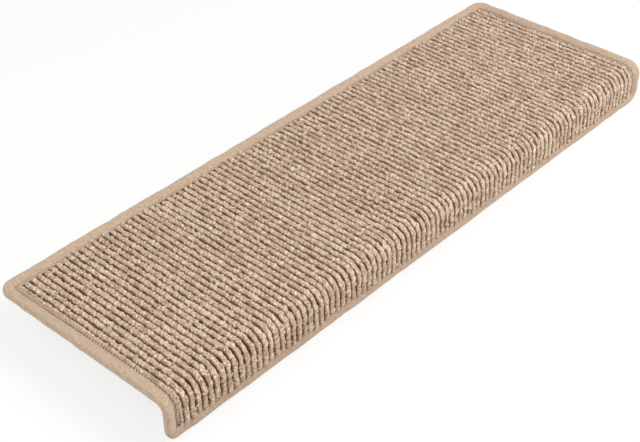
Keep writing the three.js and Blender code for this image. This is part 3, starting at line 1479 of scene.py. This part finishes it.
    def _worked_surface(self, outside: np.ndarray) -> tuple[np.ndarray, dict[str, np.ndarray]]:
        """How sewing and folding work the tape's surface.

        Args:
            outside: The outer face as (points, 2).

        Returns:
            How far each point is pushed out, and its named values: how much painted
            shade it takes from the seam's groove, the lip beside the pile and the
            front edge, how much painted shade of the needle holes it takes near the
            seam, and which stitch it lies at.
        """
        marks = self.marks
        travelled, whole = self.line.travelled(self.form.stitch_inset)
        stitches = round(whole / self.stitch_pitch)
        phase = (travelled / whole * stitches)[:, None]
        from_hole = np.abs(phase - np.round(phase)) * self.stitch_pitch
        beyond = outside[:, 0] - self.seam()[:, None]
        reach = np.abs(beyond)
        upper = outside[:, 1] > self.form.backing
        sewn = upper * self.pull()[:, None]
        holes = bell(from_hole, marks.hole_length) * bell(reach, marks.hole_reach)
        pucker = np.cos(TURN * phase) * bell(reach, marks.pucker_reach)
        sinking = (
            marks.hole_depth * holes
            + marks.groove_depth * bell(reach, marks.groove_reach)
            + marks.pucker_depth * pucker
        )
        # Painted shadow: a dark line along the seam's groove.
        line = marks.line_shade * bell(reach, marks.line_reach) * np.minimum(sewn, 1)
        # Painted shade: the lip grows darker where it runs in beside the pile.
        lip = marks.lip_shade * smooth_step(beyond / marks.lip_reach) * upper
        # Painted shade along the front edge on the nose and its two corners.
        at_front = (np.abs(self.line.segment - Border.FRONT) <= 1)[:, None]
        return self._waves(outside, reach) - sinking * sewn, {
            "tape_shade": np.clip(line + lip + marks.front_shade * at_front, 0, 1),
            # Painted shade of the needle holes near the seam.
            "seam": marks.hole_shade * bell(reach, marks.hole_shade_reach) * sewn,
            "stitch": phase,
        }

    def _waves(self, outside: np.ndarray, reach: np.ndarray) -> np.ndarray:
        """How the folded tape waves along its length and gathers in its corners.

        Args:
            outside: The outer face as (points, 2).
            reach: Distance of each point from the seam, as (stations, points).

        Returns:
            How far each point is pushed out.
        """
        folds = self.folds
        rng = np.random.default_rng(self.seed)
        travelled, whole = self.line.travelled(self.form.stitch_inset)
        corner = self.line.in_corner()[:, None]
        gathers = np.sin(corner * math.pi) * np.sin(corner * math.pi * folds.gathers)
        gathers = np.where(corner >= 0, gathers, 0)
        waves = folds.gather * gathers * bell(reach, folds.gather_reach)
        for size, grain in ((folds.wave, folds.wave_grain), (folds.ripple, folds.ripple_grain)):
            drift = DriftMap(rng, (whole, folds.face_span), grain)
            waves += size * drift.at(travelled[:, None], outside[:, 0] * folds.across_rate)
        return waves * smooth_step(outside[:, 1] / folds.full_height)

    def _fray(self, inset: np.ndarray, height: np.ndarray, outer: int) -> None:
        """Makes the lip's free edge uneven, in place.

        Args:
            inset: Distances in from the edge, as (stations, points).
            height: Heights, as (stations, points).
            outer: Number of points on the outer face, which ends at the lip.
        """
        folds = self.folds
        rng = np.random.default_rng(self.seed + 1)
        travelled, whole = self.line.travelled(self.top_width)
        fine, broad = (
            DriftMap(rng, (whole, folds.lip_span), grain).at(travelled, 0.0)
            for grain in (folds.fine_grain, folds.broad_grain)
        )
        edge = folds.fine_edge * fine + folds.broad_edge * broad - folds.lip_shift
        lift = folds.fine_lift * fine + folds.broad_lift * broad
        shares = np.append(np.linspace(0, 1, folds.lip_points) ** 2, 1.0)
        for column, share in enumerate(shares, outer - folds.lip_points):
            inset[:, column] += share * edge
            height[:, column] += share * lift


@dataclass
class TapeStitching:
    """One row of thread stitches that holds the tape."""

    binding: EdgeBinding
    side: Side
    radius: float = 0.26 * MM
    reach: Span = (0.15, 0.85)
    sunk: float = 0.55 * MM
    top_arch: float = 0.6 * MM
    under_arch: float = 0.42 * MM
    tip: float = 0.25
    taper: float = 0.4
    rings: int = 7
    around: int = 6

    def build(self) -> bpy.types.Object:
        """Makes every stitch as a short closed thread.

        Returns:
            One object that holds the whole row.
        """
        binding = self.binding
        line, form = binding.line, binding.form
        travelled, whole = line.travelled(form.stitch_inset)
        count = round(whole / binding.stitch_pitch)
        pitch = whole / count
        share = np.linspace(*self.reach, self.rings)
        places = (np.arange(count)[:, None] + share) * pitch
        closed = np.append(travelled, whole)
        u, s = (
            np.interp(places, closed, np.append(flat, flat[0]))
            for flat in line.flat_points(binding.seam()[:, None])
        )
        height = np.broadcast_to(self._height(share), places.shape)
        centres = form.formed(u, s, height)
        points = self._threads(centres, form.formed(u, s, height + MM) - centres)
        uv = np.zeros((count, self.rings, self.around + 1, 2))
        uv[..., 0] = np.arange(self.around + 1) / self.around * TURN * self.radius
        uv[..., 1] = (share * pitch)[:, None]
        piece = mesh_piece(f"stitches_{self.side.value}", points, uv)
        piece.data.materials.append(ThreadFinish().material())
        return piece

    def _height(self, share: np.ndarray) -> np.ndarray:
        """How high a stitch arches above the underside of the mat.

        Args:
            share: Places along the stitch, from 0 to 1.

        Returns:
            The height of its middle line at each place.
        """
        arch = np.sin(math.pi * share) ** 0.5
        if self.side is Side.TOP:
            return self.binding.stitch_height - self.sunk + self.top_arch * arch
        return self.sunk - self.under_arch * arch

    def _threads(self, centres: np.ndarray, up: np.ndarray) -> np.ndarray:
        """Puts rings round the middle lines of the stitches.

        Args:
            centres: Middle lines as (stitches, rings, 3).
            up: Directions out of the tape, of the same shape.

        Returns:
            The points as (stitches, rings, points round a ring, 3).
        """
        along = np.gradient(centres, axis=1)
        along /= np.linalg.norm(along, axis=-1, keepdims=True)
        across = np.cross(along, up)
        across /= np.linalg.norm(across, axis=-1, keepdims=True)
        normal = np.cross(across, along)
        angle = np.linspace(0, TURN, self.around, endpoint=False)[:, None]
        turn = np.linspace(self.tip, math.pi - self.tip, self.rings)
        thin = np.sin(turn)[None, :, None, None] ** self.taper
        ring = np.cos(angle) * across[:, :, None] + np.sin(angle) * normal[:, :, None]
        return centres[:, :, None] + self.radius * thin * ring


@dataclass
class StairMat:
    """The whole mat: its carpet, the tape round it and the thread."""

    form: MatForm

    def build(self) -> list[bpy.types.Object]:
        """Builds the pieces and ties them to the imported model.

        Returns:
            Every piece of the mat.
        """
        backing = CarpetBacking(self.form).build()
        pile = RibbedPile(self.form).build()
        binding = EdgeBinding(self.form, EdgeLine(self.form))
        tape = binding.build()
        thread = [TapeStitching(binding, side).build() for side in Side]
        for piece in [backing, *pile]:
            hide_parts("carpet_panel")
        for piece in [tape, *thread]:
            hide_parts("edge_binding")
        pieces = [backing, *pile, tape, *thread]
        for piece in pieces:
            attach(piece, BODY)
            log.info("%s: %d faces", piece.name, len(piece.data.polygons))
        return pieces


@dataclass(frozen=True)
class Lamp:
    """One large soft lamp that points at the mat, with a square face."""

    name: str
    place: tuple[float, float, float]
    size: float
    watts: float


@dataclass
class Studio:
    """A pale floor, soft light and the camera.

    Angles are in degrees, and the lens and its sensor in millimetres.
    """

    form: MatForm
    azimuth: float = -46.58
    elevation: float = 37.28
    roll: float = -1.33
    distance: float = 1189.2 * MM
    target: tuple[float, float, float] = (-84.2 * MM, -43.7 * MM, 7 * MM)
    lens: float = 77.15
    sensor_width: float = 36
    white: Colour = (244, 243, 241)
    floor_half: float = 6.0
    floor_gap: float = 0.5 * MM
    floor_glow: float = 0.76
    world_light: float = 0.38
    lamps: tuple[Lamp, ...] = (
        Lamp("key", (0.8, -1.0, 1.3), 1.0, 27),
        Lamp("fill", (-1.2, 0.2, 1.2), 1.3, 13),
    )

    def build(self) -> None:
        """Sets up the floor, the light and the camera."""
        self._floor()
        self._world()
        for lamp in self.lamps:
            self._hang(lamp)
        self._camera()
        bpy.context.scene.view_settings.view_transform = "Standard"

    def _floor(self) -> None:
        """A wide plain floor just below the nose's bottom edge."""
        half = self.floor_half
        level = -self.form.inner_radius - self.form.drop - self.floor_gap
        mesh = bpy.data.meshes.new("floor")
        corners = [(-half, -half), (half, -half), (half, half), (-half, half)]
        mesh.from_pydata([(x, y, level) for x, y in corners], [], [(0, 1, 2, 3)])
        floor = bpy.data.objects.new("floor", mesh)
        bpy.context.scene.collection.objects.link(floor)
        board = NodeBoard("floor_white")
        matt = board.add("ShaderNodeBsdfDiffuse", {"Color": screen_colour(self.white)})
        glow = board.add("ShaderNodeEmission", {"Color": (1, 1, 1, 1), "Strength": 1.0})
        seen = board.add("ShaderNodeLightPath", {})
        rays = (seen.outputs["Is Camera Ray"], seen.outputs["Is Glossy Ray"])
        inputs = {
            0: board.math("MULTIPLY", board.math("MAXIMUM", *rays), self.floor_glow),
            1: matt.outputs[0],
            2: glow.outputs[0],
        }
        mixed = board.add("ShaderNodeMixShader", inputs)
        board.tree.links.new(mixed.outputs[0], board.out.inputs["Surface"])
        floor.data.materials.append(board.material)

    def _world(self) -> None:
        """Even light from all round, white where the camera looks past the floor."""
        world = bpy.data.worlds.new("studio")
        world.use_nodes = True
        tree = world.node_tree
        tree.nodes.clear()
        out = tree.nodes.new("ShaderNodeOutputWorld")
        light = tree.nodes.new("ShaderNodeBackground")
        light.inputs["Color"].default_value = (1, 1, 1, 1)
        light.inputs["Strength"].default_value = self.world_light
        seen = tree.nodes.new("ShaderNodeBackground")
        seen.inputs["Color"].default_value = (1, 1, 1, 1)
        seen.inputs["Strength"].default_value = 1.0
        path = tree.nodes.new("ShaderNodeLightPath")
        mixed = tree.nodes.new("ShaderNodeMixShader")
        tree.links.new(path.outputs["Is Camera Ray"], mixed.inputs[0])
        tree.links.new(light.outputs[0], mixed.inputs[1])
        tree.links.new(seen.outputs[0], mixed.inputs[2])
        tree.links.new(mixed.outputs[0], out.inputs["Surface"])
        bpy.context.scene.world = world

    def _hang(self, lamp: Lamp) -> None:
        """Hangs one lamp and turns it to the mat.

        Args:
            lamp: Its name, place, size and power.
        """
        data = bpy.data.lights.new(lamp.name, "AREA")
        data.shape = "SQUARE"
        data.size = lamp.size
        data.energy = lamp.watts
        light = bpy.data.objects.new(lamp.name, data)
        light.location = lamp.place
        light.rotation_euler = (-Vector(lamp.place)).to_track_quat("-Z", "Y").to_euler()
        bpy.context.scene.collection.objects.link(light)

    def _camera(self) -> None:
        """Puts the camera at the photograph's viewpoint."""
        turn, lift, tilt = (math.radians(a) for a in (self.azimuth, self.elevation, self.roll))
        back = Vector((
            math.sin(turn) * math.cos(lift),
            -math.cos(turn) * math.cos(lift),
            math.sin(lift),
        ))
        right = Vector((0, 0, 1)).cross(back).normalized()
        up = back.cross(right)
        x_axis = right * math.cos(tilt) + up * math.sin(tilt)
        y_axis = up * math.cos(tilt) - right * math.sin(tilt)
        axes = Matrix((x_axis, y_axis, back)).transposed()
        data = bpy.data.cameras.new("camera")
        data.sensor_width = self.sensor_width
        data.lens = self.lens
        camera = bpy.data.objects.new("camera", data)
        place = Vector(self.target) + back * self.distance
        camera.matrix_world = Matrix.Translation(place) @ axes.to_4x4()
        bpy.context.scene.collection.objects.link(camera)
        bpy.context.scene.camera = camera


def main() -> None:
    """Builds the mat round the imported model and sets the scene."""
    logging.basicConfig(level=logging.INFO)
    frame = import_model()
    form = MatForm.from_frame(frame)
    Studio(form).build()
    pieces = StairMat(form).build()
    log.info("%d pieces built", len(pieces))


if __name__ == "__main__":
    main()
